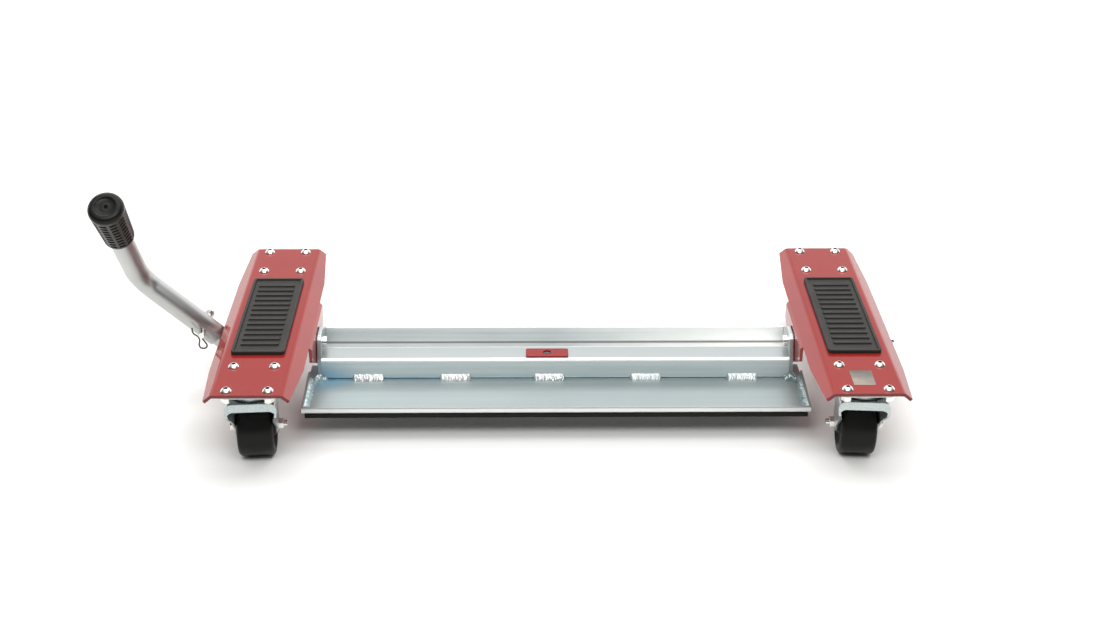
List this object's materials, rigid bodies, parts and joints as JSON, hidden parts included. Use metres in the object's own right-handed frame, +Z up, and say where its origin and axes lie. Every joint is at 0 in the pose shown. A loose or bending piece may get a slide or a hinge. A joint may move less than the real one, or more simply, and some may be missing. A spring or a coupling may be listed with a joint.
{
  "type": "motorcycle mover dolly",
  "caption": "Low motorcycle mover dolly: pressed side decks on swivel casters carry a tilting tray cradle between them, turned by a bent lever with a hand grip.",
  "frame": {"origin": "floor level, below the middle of the whole dolly with its lever", "axes": "+X to the right along the cradle, +Y to the rear, +Z up; the lever is on the left"},
  "size_m": [1.0296, 0.444, 0.3467],
  "materials": {
    "red_paint": "glossy",
    "zinc": "bright zinc plate",
    "bright_screw": "polished",
    "weld": "as welded",
    "bronze": "plain",
    "rubber": "matt",
    "wheel_black": "satin",
    "dark_wire": "drawn"
  },
  "bodies": {
    "left_carriage": {"left_deck": "red_paint", "left_outer_bracket": "red_paint", "left_bushes": "bronze", "left_step_pad": "rubber", "left_deck_screws": "bright_screw", "left_deck_nuts": "bright_screw", "front_left_caster_plate": "zinc", "front_left_kingpin": "zinc", "rear_left_caster_plate": "zinc", "rear_left_kingpin": "zinc"},
    "right_carriage": {"right_deck": "red_paint", "right_outer_bracket": "red_paint", "right_bushes": "bronze", "right_step_pad": "rubber", "right_deck_screws": "bright_screw", "right_deck_nuts": "bright_screw", "front_right_caster_plate": "zinc", "front_right_kingpin": "zinc", "rear_right_caster_plate": "zinc", "rear_right_kingpin": "zinc"},
    "front_left_swivel": {"front_left_fork": "zinc", "front_left_axle": "zinc", "front_left_wheel_bush": "zinc", "front_left_balls": "bright_screw"},
    "front_left_roller": {"front_left_wheel": "wheel_black"},
    "front_right_swivel": {"front_right_fork": "zinc", "front_right_axle": "zinc", "front_right_wheel_bush": "zinc", "front_right_balls": "bright_screw"},
    "front_right_roller": {"front_right_wheel": "wheel_black"},
    "rear_left_swivel": {"rear_left_fork": "zinc", "rear_left_axle": "zinc", "rear_left_wheel_bush": "zinc", "rear_left_balls": "bright_screw"},
    "rear_left_roller": {"rear_left_wheel": "wheel_black"},
    "rear_right_swivel": {"rear_right_fork": "zinc", "rear_right_axle": "zinc", "rear_right_wheel_bush": "zinc", "rear_right_balls": "bright_screw"},
    "rear_right_roller": {"rear_right_wheel": "wheel_black"},
    "cradle": {"cross_tube": "zinc", "tray": "zinc", "tray_end_plates": "zinc", "back_angle": "zinc", "left_arm": "zinc", "right_arm": "zinc", "left_shaft": "zinc", "right_shaft": "zinc", "lever_stub": "zinc", "lever_tube": "zinc", "lock_pin": "zinc", "stitch_welds": "weld", "anchor_tab": "red_paint", "ground_mat": "rubber", "lever_grip": "rubber", "pivot_screws": "bright_screw", "hairpin_clip": "dark_wire"}
  },
  "joints": [
    {"name": "cradle_tilt", "type": "hinge", "parent": "left_carriage", "child": "cradle", "pos_m": [-0.26267, -0.012, 0.083], "axis": [-1, 0, 0], "range_deg": [-16, 22]},
    {"name": "right_carriage_tilt", "type": "hinge", "parent": "cradle", "child": "right_carriage", "pos_m": [0.37833, -0.012, 0.083], "axis": [-1, 0, 0], "range_deg": [-22, 16]},
    {"name": "front_left_swivel_turn", "type": "hinge", "parent": "left_carriage", "child": "front_left_swivel", "pos_m": [-0.32587, -0.18, 0.1039], "axis": [0, 0, 1], "continuous": true},
    {"name": "front_left_wheel_spin", "type": "hinge", "parent": "front_left_swivel", "child": "front_left_roller", "pos_m": [-0.32768, -0.15406, 0.04], "axis": [0.9976, 0.0698, 0], "continuous": true},
    {"name": "front_right_swivel_turn", "type": "hinge", "parent": "right_carriage", "child": "front_right_swivel", "pos_m": [0.44153, -0.18, 0.1039], "axis": [0, 0, 1], "continuous": true},
    {"name": "front_right_wheel_spin", "type": "hinge", "parent": "front_right_swivel", "child": "front_right_roller", "pos_m": [0.44335, -0.15406, 0.04], "axis": [0.9976, -0.0698, 0], "continuous": true},
    {"name": "rear_left_swivel_turn", "type": "hinge", "parent": "left_carriage", "child": "rear_left_swivel", "pos_m": [-0.32587, 0.156, 0.1039], "axis": [0, 0, 1], "continuous": true},
    {"name": "rear_left_wheel_spin", "type": "hinge", "parent": "rear_left_swivel", "child": "rear_left_roller", "pos_m": [-0.32587, 0.182, 0.04], "axis": [1, 0, 0], "continuous": true},
    {"name": "rear_right_swivel_turn", "type": "hinge", "parent": "right_carriage", "child": "rear_right_swivel", "pos_m": [0.44153, 0.156, 0.1039], "axis": [0, 0, 1], "continuous": true},
    {"name": "rear_right_wheel_spin", "type": "hinge", "parent": "rear_right_swivel", "child": "rear_right_roller", "pos_m": [0.44153, 0.182, 0.04], "axis": [1, 0, 0], "continuous": true}
  ],
  "couplings": [
    {"joint": "right_carriage_tilt", "follows": "cradle_tilt", "ratio": -1}
  ]
}
